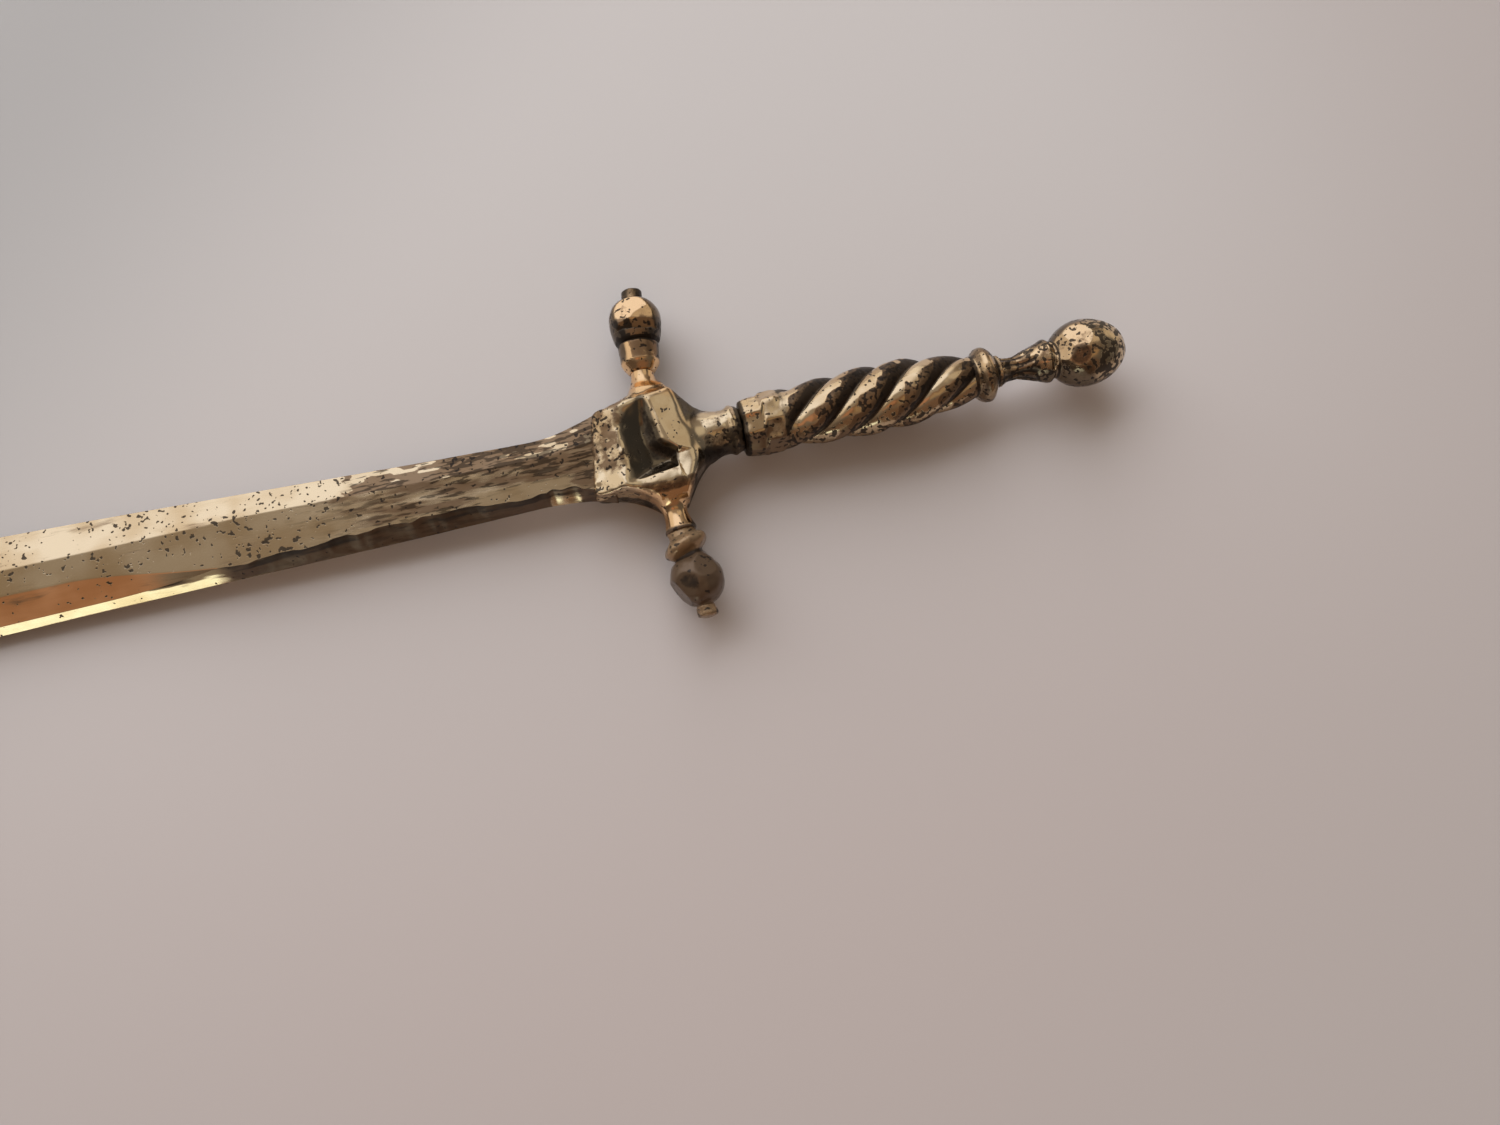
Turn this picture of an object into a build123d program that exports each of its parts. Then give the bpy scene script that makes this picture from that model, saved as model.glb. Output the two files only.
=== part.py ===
"""Letter opener in cast brass, in the form of a small cross-hilted sword.

The blade and its tang are one piece. The guard slides over the tang, the twisted grip is
screwed onto the tang's end and draws the guard against the blade's shoulder. A ring-shaped
collar and the pommel close the grip, and a turned finial is screwed into each arm of the guard.

X runs along the opener, from the tip to the pommel. Y runs along the arms of the guard and Z is up.
The origin is at the middle of the length, on the surface that the opener lies on.
"""

import os
from math import cos, pi, radians, sin, tan

from build123d import *

# Blade: leaf-shaped, with a flat land down the middle of each face and a bevel to each edge
blade_length = 135.0
blade_width = 13.0
blade_thickness = 3.0
edge_thickness = 1.1
belly_to_tip = 47.0
tip_radius = 0.9
ricasso_width = 9.4
root_width = 11.2
flare_length = 8.5
land_width = 3.9
ricasso_land_width = 5.6
land_to_tip = 5.0
land_tip_radius = 0.4

# Tang: flat where it leaves the blade, so that the guard can't turn, then round
tang_width = 5.0
tang_thickness = 2.2
tang_flat_length = 8.0
tang_diameter = 3.0
tang_in_grip = 20.0

# Guard: a block with a dished diamond on each face, two arms and a short neck
guard_length = 20.2
quillon_to_front = 8.2
block_length = 16.4
block_front_width = 11.2
block_front_thickness = 6.0
block_thickness = 8.6
block_land_width = 11.4
block_side_hollow = 0.6
block_edge_radius = 2.0
face_start = 2.8
face_length = 9.8
neck_diameter = 6.0
neck_lip_diameter = 6.6
neck_lip_length = 1.7
dish_length = 7.6
dish_width = 10.4
dish_to_front = 3.4
dish_low_point = 4.6
dish_depth = 2.0
dish_floor_share = 0.16

# Arms of the guard, which lean towards the grip
quillon_lean = 4.3
arm_root_to_axis = 8.2
arm_root_diameter = 3.8
arm_waist_to_axis = 9.8
arm_waist_diameter = 3.0
arm_length = 11.5
arm_end_diameter = 3.9

# Finials: a ring, a ball and a nib, turned in one with a stud
finial_length = 11.8
finial_ring_diameter = 5.8
finial_ring_length = 3.6
finial_groove_diameter = 4.9
finial_ball_diameter = 7.1
finial_ball_to_seat = 6.9
nib_diameter = 2.7
nib_rounding = 0.5
finial_stud_diameter = 1.6
finial_stud_length = 3.0

# Grip: a plain band at the guard, then a left-handed twist of four strands on a spindle
grip_length = 32.3
grip_diameter = 9.4
grip_front_diameter = 7.0
grip_end_diameter = 6.0
grip_belly_from_guard = 20.0
band_length = 5.6
band_diameter = 8.2
band_overlap = 1.0
strand_front_diameter = 7.9
flute_depth = 0.85
flute_angle = 26.0
crest_rise = 0.35
strand_count = 4
twist_lead = 24.5
turn_per_section = 18.0

# Collar between grip and pommel
collar_length = 4.1
collar_diameter = 7.7
collar_front_diameter = 6.2
collar_lip_diameter = 4.6
collar_lip_length = 0.6

# Pommel: a waisted neck, a bead and an egg, with a stud that screws into the grip
pommel_length = 18.3
pommel_diameter = 9.3
pommel_belly_to_end = 6.1
egg_length = 10.6
egg_front_turn = 60.0
bead_diameter = 6.3
bead_length = 2.6
pommel_neck_diameter = 2.95
pommel_neck_seat_diameter = 3.9
pommel_stud_diameter = 2.2
pommel_stud_length = 9.0

# Room around each tang and stud, and past its end
bore_clearance = 0.05
end_clearance = 0.5

# Places along the opener that follow from the sizes above
overall_length = blade_length + guard_length + grip_length + collar_length + pommel_length
tip_x = -overall_length / 2
shoulder_x = tip_x + blade_length
quillon_x = shoulder_x + quillon_to_front
neck_x = shoulder_x + block_length
grip_x = shoulder_x + guard_length
collar_x = grip_x + grip_length
pommel_x = collar_x + collar_length
axis_z = max(grip_diameter, pommel_diameter, block_thickness) / 2

hilt_plane = Plane((0, 0, axis_z), x_dir=(1, 0, 0), z_dir=(0, 0, 1))
hilt_axis = Axis((0, 0, axis_z), (1, 0, 0))
side_plane = Plane((0, 0, axis_z), x_dir=(1, 0, 0), z_dir=(0, -1, 0))


def across(x):
    """Plane square to the hilt at x, with its own X along the arms and its own Y up."""
    return Plane((x, 0, axis_z), x_dir=(0, 1, 0), z_dir=(1, 0, 0))


def arm_plane(side):
    """Plane of an arm's turned profile, whose own X runs out along the arm on that side."""
    out = (sin(radians(quillon_lean)), side * cos(radians(quillon_lean)), 0)
    return Plane((quillon_x, 0, axis_z), x_dir=out, z_dir=(0, 0, side))


def leaf_outline(shoulder_half, ricasso_half, belly_half, nose_x, nose_half):
    """Closed outline of the blade or of its land: flare, straight widening, then an arc to the nose."""
    ricasso_x = shoulder_x - flare_length
    belly_x = tip_x + belly_to_tip
    widening = (ricasso_x - belly_x, ricasso_half - belly_half)
    with BuildLine() as outline:
        flare = TangentArc((ricasso_x, ricasso_half), (shoulder_x, shoulder_half), tangent=widening)
        side = Line((ricasso_x, ricasso_half), (belly_x, belly_half))
        point = TangentArc(side @ 1, (nose_x + nose_half, nose_half), tangent=(-1, 0))
        mirror(outline.line, about=Plane.XZ)
        ThreePointArc(point @ 1, (nose_x, 0), (nose_x + nose_half, -nose_half))
        Line(flare @ 1, (shoulder_x, -shoulder_half))
    return outline.line


# Blade with its tang
edge_outline = leaf_outline(root_width / 2, ricasso_width / 2, blade_width / 2, tip_x, tip_radius)
land_outline = leaf_outline(
    (ricasso_land_width + root_width - ricasso_width) / 2,
    ricasso_land_width / 2,
    land_width / 2,
    tip_x + land_to_tip,
    land_tip_radius,
)

with BuildPart() as blade:
    with BuildSketch(hilt_plane):
        make_face(edge_outline.edges())
    extrude(amount=edge_thickness / 2, both=True)
    for face_side in (1, -1):
        with BuildSketch(hilt_plane.offset(face_side * edge_thickness / 2)):
            make_face(edge_outline.edges())
        with BuildSketch(hilt_plane.offset(face_side * blade_thickness / 2)):
            make_face(land_outline.edges())
        loft(ruled=True)
    with BuildSketch(across(shoulder_x)):
        Rectangle(tang_width, tang_thickness)
    extrude(amount=tang_flat_length)
    with BuildSketch(across(shoulder_x)):
        Circle(tang_diameter / 2)
    extrude(amount=guard_length + tang_in_grip)
blade.part.label = "blade"

# Guard
arm_root_half = arm_root_diameter / 2
arm_seat_x = quillon_x + arm_root_to_axis * tan(radians(quillon_lean))
front_half = block_front_width / 2
neck_half = neck_diameter / 2
face_x = shoulder_x + face_start
face_end_x = face_x + face_length
front_rise = (block_thickness - block_front_thickness) / 2
neck_rise = (block_thickness - neck_diameter) / 2
neck_run = neck_x - face_end_x
dish_x = shoulder_x + dish_to_front
dish_low_x = dish_x + dish_low_point

with BuildPart() as guard:
    # The block is what three outlines have in common: from above, along the blade and from the side.
    # In the last, the slopes to the blade and to the neck run on past the block's own ends and faces.
    with BuildSketch(hilt_plane):
        with BuildLine() as plan:
            blade_side = TangentArc(
                (shoulder_x, front_half), (arm_seat_x - arm_root_half, arm_root_to_axis), tangent=(1, 0)
            )
            arm_seat = Line(blade_side @ 1, (arm_seat_x + arm_root_half, arm_root_to_axis))
            SagittaArc(arm_seat @ 1, (neck_x, neck_half), -block_side_hollow)
            Line((neck_x, neck_half), (neck_x, 0))
            Line((shoulder_x, front_half), (shoulder_x, 0))
            mirror(plan.line, about=Plane.XZ)
        make_face()
    extrude(amount=block_thickness, both=True)
    with BuildSketch(across(shoulder_x - block_length)) as end_view:
        Polygon(
            (block_land_width / 2, block_thickness / 2),
            (arm_root_to_axis, arm_root_half),
            (arm_root_to_axis, -arm_root_half),
            (block_land_width / 2, -block_thickness / 2),
            (-block_land_width / 2, -block_thickness / 2),
            (-arm_root_to_axis, -arm_root_half),
            (-arm_root_to_axis, arm_root_half),
            (-block_land_width / 2, block_thickness / 2),
            align=None,
        )
        rows = end_view.vertices().group_by(Axis.Y)
        fillet(rows[0] + rows[-1], block_edge_radius)
    extrude(amount=3 * block_length, mode=Mode.INTERSECT)
    with BuildSketch(side_plane.offset(-2 * arm_root_to_axis)):
        Polygon(
            (shoulder_x - face_start, block_front_thickness / 2 - front_rise),
            (face_x + face_start, block_thickness / 2 + front_rise),
            (face_end_x - neck_run, block_thickness / 2 + neck_rise),
            (neck_x + neck_run, neck_half - neck_rise),
            (neck_x + neck_run, neck_rise - neck_half),
            (face_end_x - neck_run, -block_thickness / 2 - neck_rise),
            (face_x + face_start, -block_thickness / 2 - front_rise),
            (shoulder_x - face_start, front_rise - block_front_thickness / 2),
            align=None,
        )
    extrude(amount=4 * arm_root_to_axis, mode=Mode.INTERSECT)

    # Neck, with a lip where the grip meets it
    with BuildSketch(hilt_plane):
        with BuildLine():
            Polyline(
                (neck_x - neck_half, 0),
                (neck_x - neck_half, neck_half),
                (grip_x - neck_lip_length, neck_half),
            )
            ThreePointArc(
                (grip_x - neck_lip_length, neck_half),
                (grip_x - neck_lip_length / 2, neck_lip_diameter / 2),
                (grip_x, neck_half),
            )
            Polyline((grip_x, neck_half), (grip_x, 0), (neck_x - neck_half, 0))
        make_face()
    revolve(axis=hilt_axis)

    # Arms, each hollowed to a waist and bored for its finial's stud
    for arm_side in (1, -1):
        with BuildSketch(arm_plane(arm_side)):
            with BuildLine():
                Polyline((0, 0), (0, arm_root_half), (arm_root_to_axis, arm_root_half))
                ThreePointArc(
                    (arm_root_to_axis, arm_root_half),
                    (arm_waist_to_axis, arm_waist_diameter / 2),
                    (arm_length, arm_end_diameter / 2),
                )
                Polyline((arm_length, arm_end_diameter / 2), (arm_length, 0), (0, 0))
            make_face()
        revolve(axis=Axis(arm_plane(arm_side).origin, arm_plane(arm_side).x_dir))

    # Dished diamond on both faces, deepest towards the grip
    for face_side in (1, -1):
        rim_plane = hilt_plane.offset(face_side * block_thickness / 2)
        floor_plane = hilt_plane.offset(face_side * (block_thickness / 2 - dish_depth))
        for level, share in ((rim_plane, 1), (floor_plane, dish_floor_share)):
            with BuildSketch(level):
                Polygon(
                    (dish_low_x - share * dish_low_point, 0),
                    (dish_low_x, -share * dish_width / 2),
                    (dish_low_x + share * (dish_length - dish_low_point), 0),
                    (dish_low_x, share * dish_width / 2),
                    align=None,
                )
        loft(ruled=True, mode=Mode.SUBTRACT)

    # Passage for the tang
    with BuildSketch(across(shoulder_x)):
        Rectangle(tang_width + 2 * bore_clearance, tang_thickness + 2 * bore_clearance)
    extrude(amount=tang_flat_length + end_clearance, mode=Mode.SUBTRACT)
    with BuildSketch(across(shoulder_x)):
        Circle(tang_diameter / 2 + bore_clearance)
    extrude(amount=guard_length, mode=Mode.SUBTRACT)

    # Sockets for the finials' studs
    for arm_side in (1, -1):
        arm = arm_plane(arm_side)
        socket_floor = arm_length - finial_stud_length - end_clearance
        with BuildSketch(Plane(arm.origin + arm.x_dir * socket_floor, z_dir=arm.x_dir)):
            Circle(finial_stud_diameter / 2 + bore_clearance)
        extrude(amount=finial_stud_length + end_clearance, mode=Mode.SUBTRACT)
guard.part.label = "guard"


# Finials
def finial(side):
    """Turned finial that seats on the end of the arm on that side."""
    ring_end = arm_length + finial_ring_length
    ball_mid = arm_length + finial_ball_to_seat
    ball_half = finial_ball_diameter / 2
    groove_half = finial_groove_diameter / 2
    nib_half = nib_diameter / 2
    nib_end = arm_length + finial_length
    ball_start = ball_mid - (ball_half**2 - groove_half**2) ** 0.5
    nib_start = ball_mid + (ball_half**2 - nib_half**2) ** 0.5
    stud_half = finial_stud_diameter / 2
    with BuildPart() as turned:
        with BuildSketch(arm_plane(side)):
            with BuildLine():
                Polyline(
                    (arm_length - finial_stud_length, 0),
                    (arm_length - finial_stud_length, stud_half),
                    (arm_length, stud_half),
                    (arm_length, arm_end_diameter / 2),
                )
                ThreePointArc(
                    (arm_length, arm_end_diameter / 2),
                    (arm_length + finial_ring_length / 2, finial_ring_diameter / 2),
                    (ring_end, groove_half),
                )
                Line((ring_end, groove_half), (ball_start, groove_half))
                ThreePointArc((ball_start, groove_half), (ball_mid, ball_half), (nib_start, nib_half))
                Line((nib_start, nib_half), (nib_end - nib_rounding, nib_half))
                ThreePointArc(
                    (nib_end - nib_rounding, nib_half),
                    (nib_end - nib_rounding * (1 - cos(pi / 4)), nib_half - nib_rounding * (1 - sin(pi / 4))),
                    (nib_end, nib_half - nib_rounding),
                )
                Polyline((nib_end, nib_half - nib_rounding), (nib_end, 0), (arm_length - finial_stud_length, 0))
            make_face()
        revolve(axis=Axis(arm_plane(side).origin, arm_plane(side).x_dir))
    return turned


upper_finial = finial(1)
upper_finial.part.label = "upper_quillon_finial"
lower_finial = finial(-1)
lower_finial.part.label = "lower_quillon_finial"


# Grip
def spindle_radius(along):
    """Radius of the grip over its strands, at a distance from the guard: two half waves about the belly."""
    if along < grip_belly_from_guard:
        low, share = strand_front_diameter / 2, (along - band_length) / (grip_belly_from_guard - band_length)
    else:
        low, share = grip_end_diameter / 2, (grip_length - along) / (grip_length - grip_belly_from_guard)
    return low + (grip_diameter / 2 - low) * sin(pi / 2 * share)


def polar(radius, angle):
    """Point at that radius and angle in degrees."""
    return (radius * cos(radians(angle)), radius * sin(radians(angle)))


def strand_section(radius, turn):
    """Section of the grip: a round crest for each strand and a hollow flute between each two."""
    step = 360 / strand_count
    edge_radius = radius - crest_rise
    with BuildLine() as ring:
        for strand in range(strand_count):
            crest = turn + strand * step
            flute = crest + step / 2
            flute_start = polar(edge_radius, flute - flute_angle / 2)
            flute_end = polar(edge_radius, flute + flute_angle / 2)
            ThreePointArc(polar(edge_radius, flute + flute_angle / 2 - step), polar(radius, crest), flute_start)
            ThreePointArc(flute_start, polar(radius - flute_depth, flute), flute_end)
    return ring.line


with BuildPart() as grip:
    section_step = twist_lead * turn_per_section / 360
    strand_start = band_length - band_overlap
    section_count = round((grip_length - strand_start) / section_step)
    for section in range(section_count + 1):
        along = strand_start + (grip_length - strand_start) * section / section_count
        with BuildSketch(across(grip_x + along)):
            make_face(strand_section(spindle_radius(along), -360 * along / twist_lead).edges())
    loft()
    with BuildSketch(hilt_plane):
        with BuildLine():
            Polyline((grip_x + band_length, band_diameter / 2), (grip_x + band_length, 0), (grip_x, 0))
            Line((grip_x, 0), (grip_x, grip_front_diameter / 2))
            TangentArc(
                (grip_x + band_length, band_diameter / 2), (grip_x, grip_front_diameter / 2), tangent=(-1, 0)
            )
        make_face()
    revolve(axis=hilt_axis)
    with BuildSketch(across(grip_x)):
        Circle(tang_diameter / 2 + bore_clearance)
    extrude(amount=tang_in_grip + end_clearance, mode=Mode.SUBTRACT)
    with BuildSketch(across(collar_x)):
        Circle(pommel_stud_diameter / 2 + bore_clearance)
    extrude(amount=-(pommel_stud_length - collar_length + end_clearance), mode=Mode.SUBTRACT)
grip.part.label = "grip"

# Collar
with BuildPart() as collar:
    bead_end_x = pommel_x - collar_lip_length
    bore_half = pommel_stud_diameter / 2 + bore_clearance
    with BuildSketch(hilt_plane):
        with BuildLine():
            Polyline((pommel_x, bore_half), (collar_x, bore_half), (collar_x, collar_front_diameter / 2))
            ThreePointArc(
                (collar_x, collar_front_diameter / 2),
                ((collar_x + bead_end_x) / 2, collar_diameter / 2),
                (bead_end_x, collar_lip_diameter / 2),
            )
            Polyline(
                (bead_end_x, collar_lip_diameter / 2),
                (pommel_x, collar_lip_diameter / 2),
                (pommel_x, bore_half),
            )
        make_face()
    revolve(axis=hilt_axis)
collar.part.label = "grip_collar"

# Pommel
with BuildPart() as pommel:
    end_x = pommel_x + pommel_length
    belly_x = end_x - pommel_belly_to_end
    egg_x = end_x - egg_length
    bead_x = egg_x - bead_length
    neck_mid_x = (pommel_x + bead_x) / 2
    egg_half = pommel_diameter / 2
    seat_half = pommel_neck_seat_diameter / 2
    front_reach = belly_x - egg_x
    with BuildSketch(hilt_plane):
        with BuildLine():
            Polyline(
                (pommel_x - pommel_stud_length, 0),
                (pommel_x - pommel_stud_length, pommel_stud_diameter / 2),
                (pommel_x, pommel_stud_diameter / 2),
                (pommel_x, seat_half),
            )
            ThreePointArc((pommel_x, seat_half), (neck_mid_x, pommel_neck_diameter / 2), (bead_x, seat_half))
            ThreePointArc((bead_x, seat_half), ((bead_x + egg_x) / 2, bead_diameter / 2), (egg_x, seat_half))
            front_arc = EllipticalCenterArc((belly_x, 0), front_reach, egg_half, 90, arc_size=egg_front_turn)
            Line((egg_x, seat_half), front_arc @ 1)
            EllipticalCenterArc((belly_x, 0), pommel_belly_to_end, egg_half, 0, arc_size=90)
            Line((end_x, 0), (pommel_x - pommel_stud_length, 0))
        make_face()
    revolve(axis=hilt_axis)
pommel.part.label = "pommel"

os.makedirs("parts", exist_ok=True)
for piece in (blade, guard, upper_finial, lower_finial, grip, collar, pommel):
    export_step(piece.part, f"parts/{piece.part.label}.step")
    print(f"{piece.part.label}: {piece.part.volume:.0f} mm3")
print(f"overall length {overall_length:.1f} mm")
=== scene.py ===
# %% [markdown]
# # A brass letter opener
# The object is a paper knife in the form of a small cross-hilted sword. It was cast in brass, filed and
# polished by hand, and has tarnished since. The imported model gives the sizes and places, and this lesson
# gives each piece the surface of the real one: dents, pits, dark hollows and bright crests.
#
# Every shape is worked out in millimetres with numpy and put into a mesh in metres. X runs from the tip to
# the pommel, Y along the arms of the guard and Z up.

# %% Load the frame
from math import cos, pi, radians, sin

import bpy
import numpy as np
from mathutils import Matrix, Vector


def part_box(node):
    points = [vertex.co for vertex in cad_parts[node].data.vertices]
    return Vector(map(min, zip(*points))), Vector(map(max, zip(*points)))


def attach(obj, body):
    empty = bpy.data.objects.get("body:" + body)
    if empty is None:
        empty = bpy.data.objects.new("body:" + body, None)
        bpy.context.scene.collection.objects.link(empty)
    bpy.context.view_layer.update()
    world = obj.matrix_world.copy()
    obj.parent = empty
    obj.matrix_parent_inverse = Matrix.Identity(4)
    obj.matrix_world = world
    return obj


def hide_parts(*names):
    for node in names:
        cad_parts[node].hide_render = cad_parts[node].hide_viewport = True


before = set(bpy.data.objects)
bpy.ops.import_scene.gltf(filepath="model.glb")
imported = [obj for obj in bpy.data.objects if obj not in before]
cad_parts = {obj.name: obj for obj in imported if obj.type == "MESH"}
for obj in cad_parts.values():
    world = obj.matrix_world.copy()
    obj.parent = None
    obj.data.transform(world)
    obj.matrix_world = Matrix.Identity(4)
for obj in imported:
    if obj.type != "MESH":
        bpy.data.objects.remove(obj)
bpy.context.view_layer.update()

MM = 0.001
print("nodes:", sorted(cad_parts))

# %% Places along the opener
def box_mm(node):
    """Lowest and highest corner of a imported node, in millimetres."""
    low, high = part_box(node)
    return np.array(low) / MM, np.array(high) / MM


blade_low, blade_high = box_mm("blade")
guard_low, guard_high = box_mm("guard")
collar_low, collar_high = box_mm("grip_collar")
tip_x = blade_low[0]
shoulder_x = guard_low[0]
grip_x = guard_high[0]
collar_x = collar_low[0]
pommel_x = collar_high[0]
end_x = box_mm("pommel")[1][0]
axis_z = (blade_low[2] + blade_high[2]) / 2
front_reach = 9.3
middle_x = shoulder_x + front_reach
print(f"tip {tip_x:.1f}, shoulder {shoulder_x:.1f}, grip {grip_x:.1f} mm")
print(f"collar {collar_x:.1f}, pommel {pommel_x:.1f}, end {end_x:.1f} mm")

# %% [markdown]
# ## Helpers for surfaces
# Most pieces are ring grids: a section with the same number of points at each station along a line, closed
# by a point at both ends. Dents come from smooth noise. A smooth minimum and maximum join two shapes with a
# rounded edge in place of a sharp one, which is how filed and cast metal looks.

# %% Noise, ramps and soft joins
def lumps(points, size, seed):
    """Smooth noise from -1 to 1: random values on a lattice of that size in mm, blended by 3t^2 - 2t^3."""
    count = 32
    lattice = np.random.default_rng(seed).uniform(-1, 1, (count, count, count))
    place = np.asarray(points) / size
    cell = np.floor(place).astype(int)
    part = place - cell
    part = part * part * (3 - 2 * part)
    total = 0
    for corner in np.ndindex(2, 2, 2):
        i, j, k = np.moveaxis((cell + corner) % count, -1, 0)
        weight = np.where(np.array(corner) == 1, part, 1 - part).prod(axis=-1)
        total = total + weight * lattice[i, j, k]
    return total


def ramp(value, start, end):
    """0 before start, 1 after end, and 3t^2 - 2t^3 between them."""
    t = np.clip((value - start) / (end - start), 0, 1)
    return t * t * (3 - 2 * t)


def soft_min(a, b, width):
    """The lower of two heights, with the corner between them rounded over that width."""
    t = np.clip(0.5 + 0.5 * (b - a) / width, 0, 1)
    return b + (a - b) * t - width * t * (1 - t)


def soft_max(a, b, width):
    """The higher of two heights, rounded in the same way."""
    return -soft_min(-a, -b, width)


# %% Meshes from ring grids
def add_piece(name, points, faces, **masks):
    """Object of one closed surface, with each mask stored as a value on its points."""
    mesh = bpy.data.meshes.new(name)
    mesh.from_pydata((points * MM).tolist(), [], faces)
    mesh.shade_smooth()
    for mask, values in masks.items():
        layer = mesh.attributes.new(mask, "FLOAT", "POINT")
        layer.data.foreach_set("value", np.ascontiguousarray(values, dtype=np.float32))
    piece = bpy.data.objects.new(name, mesh)
    bpy.context.collection.objects.link(piece)
    print(f"{name}: {len(points)} points, {len(faces)} faces")
    return piece


def ring_piece(name, rings, **masks):
    """Piece from rings[station, turn], which run right-handed about the line, with a fan to a pole at both
    ends. A mask is one value for the piece, or one for each station or point."""
    stations, turns = rings.shape[:2]
    number = np.arange(stations * turns).reshape(stations, turns)
    step = np.roll(number, -1, axis=1)
    quads = np.stack([number[:-1], step[:-1], step[1:], number[1:]], axis=-1).reshape(-1, 4)
    first, last = stations * turns, stations * turns + 1
    start_fan = np.stack([np.full(turns, first), step[0], number[0]], axis=-1)
    end_fan = np.stack([np.full(turns, last), number[-1], step[-1]], axis=-1)
    points = np.concatenate([rings.reshape(-1, 3), [rings[0].mean(axis=0), rings[-1].mean(axis=0)]])
    values = {}
    for mask, value in masks.items():
        value = np.broadcast_to(value, (stations, turns))
        values[mask] = np.append(value.ravel(), [value[0].mean(), value[-1].mean()])
    return add_piece(name, points, quads.tolist() + start_fan.tolist() + end_fan.tolist(), **values)


def normals(rings):
    """Unit normals of a ring grid: the cross product of the directions around and along it."""
    turnwise = np.roll(rings, -1, axis=1) - np.roll(rings, 1, axis=1)
    lengthwise = np.gradient(rings, axis=0)
    normal = np.cross(turnwise, lengthwise)
    return normal / np.maximum(np.linalg.norm(normal, axis=-1, keepdims=True), 1e-6)


def push(rings, amount):
    """Moves each ring point out along its normal by that amount."""
    return rings + amount[..., None] * normals(rings)


def sideways(rings):
    """1 where a surface faces sideways, 0 where it faces up or down. Sides are painted darker with it, partly
    as tarnish and partly as painted shade.
    """
    return 1 - ramp(np.abs(normals(rings)[..., 2]), 0.50, 0.90)


def turned(along, radius, origin, out):
    """Rings of a turned piece: station i stands at origin + along[i] * out and has radius[i, j] at turn j."""
    out = np.array(out) / np.linalg.norm(out)
    up = np.array([0.0, 0.0, 1.0])
    side = np.cross(up, out)
    turn = 2 * pi * np.arange(radius.shape[1]) / radius.shape[1]
    spoke = np.cos(turn)[:, None] * side + np.sin(turn)[:, None] * up
    return np.array(origin) + along[:, None, None] * out + radius[..., None] * spoke


# %% [markdown]
# ## Blade
# The real blade is a flat leaf. Its upper arris runs straight and sharp from the guard to the tip, where a
# file left a clean bevel. The lower edge was ground only in front: the bevel starts at the edge and sweeps
# up to the land, and behind it the side stays blunt. Towards the guard the casting was never smoothed.
#
# A box with bevelled edges would lose that sweep. So the blade is a grid: each station has its own width,
# arrises and heights, and the grid lines follow the arrises, which keeps them crisp.

# %% The blade's outline and arrises
belly_half = blade_high[1]
belly_x = tip_x + 47.0
ricasso_half = 4.45
ricasso_x = shoulder_x - 8.5
root_half = 5.6
nose_radius = 0.9
blade_half_thick = (blade_high[2] - blade_low[2]) / 2
edge_half = 0.55
lower_arris_y = 1.72
upper_arris_y = 1.6
upper_arris_gain = 0.72
plunge_x = shoulder_x - 49.0
plunge_length = 18.0
tip_rise = 6.0
sway_front = 0.95
sway_root = 0.25


def half_width(x):
    """Leaf outline: a round nose, an arc to the belly, a taper to the ricasso and a parabola to the guard."""
    reach = belly_x - tip_x - nose_radius
    drop = belly_half - nose_radius
    arc_radius = (reach**2 + drop**2) / (2 * drop)
    arc = belly_half - arc_radius + np.sqrt(arc_radius**2 - np.clip(belly_x - x, 0, reach) ** 2)
    slope = (ricasso_half - belly_half) / (ricasso_x - belly_x)
    flare_length = shoulder_x - ricasso_x
    flare_gain = (root_half - ricasso_half - slope * flare_length) / flare_length**2
    taper = belly_half + slope * (x - belly_x) + flare_gain * np.clip(x - ricasso_x, 0, None) ** 2
    nose = np.sqrt(np.clip(nose_radius**2 - (tip_x + nose_radius - x) ** 2, 0, None))
    return np.where(x < tip_x + nose_radius, nose, np.where(x < belly_x, arc, taper))


def spread(count):
    """Shares from 0 to just before 1, closer together at both ends, as 0.5 - 0.5 cos(pi t)."""
    return 0.5 - 0.5 * np.cos(pi * np.arange(count) / count)


# %% The blade's surface
inside_guard = 2.0
first_x = tip_x + 0.02
nose_part = 2.0
fine_from = shoulder_x - 85.0
blade_x = np.concatenate(
    [
        first_x + nose_part * np.linspace(0, 1, 24, endpoint=False) ** 2,
        np.linspace(first_x + nose_part, fine_from, 70, endpoint=False),
        np.linspace(fine_from, shoulder_x + inside_guard, 380),
    ]
)
x = blade_x[:, None]
width = half_width(x)
ground = 1 - ramp(x, plunge_x - 1.0, plunge_x + 2.0)
rise = np.clip((x - tip_x) / tip_rise, 0, 1) ** 0.7
height = edge_half + (blade_half_thick - edge_half) * rise
back = shoulder_x - x
into_bevel = np.clip((plunge_x - x) / plunge_length, 0, 1)
sweep = 1 - (1 - into_bevel) ** 1.6
shelf = height - (height - edge_half) * (1 - (1 - into_bevel) ** 2.6)
edge_lean = 0.8 * (shelf + edge_half)
ragged = 0.22 * lumps(np.stack([x, 0 * x, 0 * x], axis=-1), 1.4, 8)
glint = ramp(back, 2.0, 3.0) * ramp(back, 7.0, 6.0)
blunt_lean = 1.35 + 0.6 * ramp(back, 48, 30) - 0.7 * ramp(back, 18, 8) + 0.4 * glint + ragged
lean_in = np.minimum(blunt_lean * (1 - ground) + edge_lean * ground, 0.45 * width)
upper_arris = np.minimum(upper_arris_y + upper_arris_gain * ramp(back, 75, 30), 0.4 * width)
sway = sway_front * ramp(back, 5, 80) - sway_root * ramp(back, 0, 6)
blunt_arris = width - lean_in - 0.02
ground_arris = np.minimum(lower_arris_y, 0.4 * width)
lower_arris = blunt_arris + np.minimum(ground_arris - blunt_arris, 0) * sweep

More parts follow.
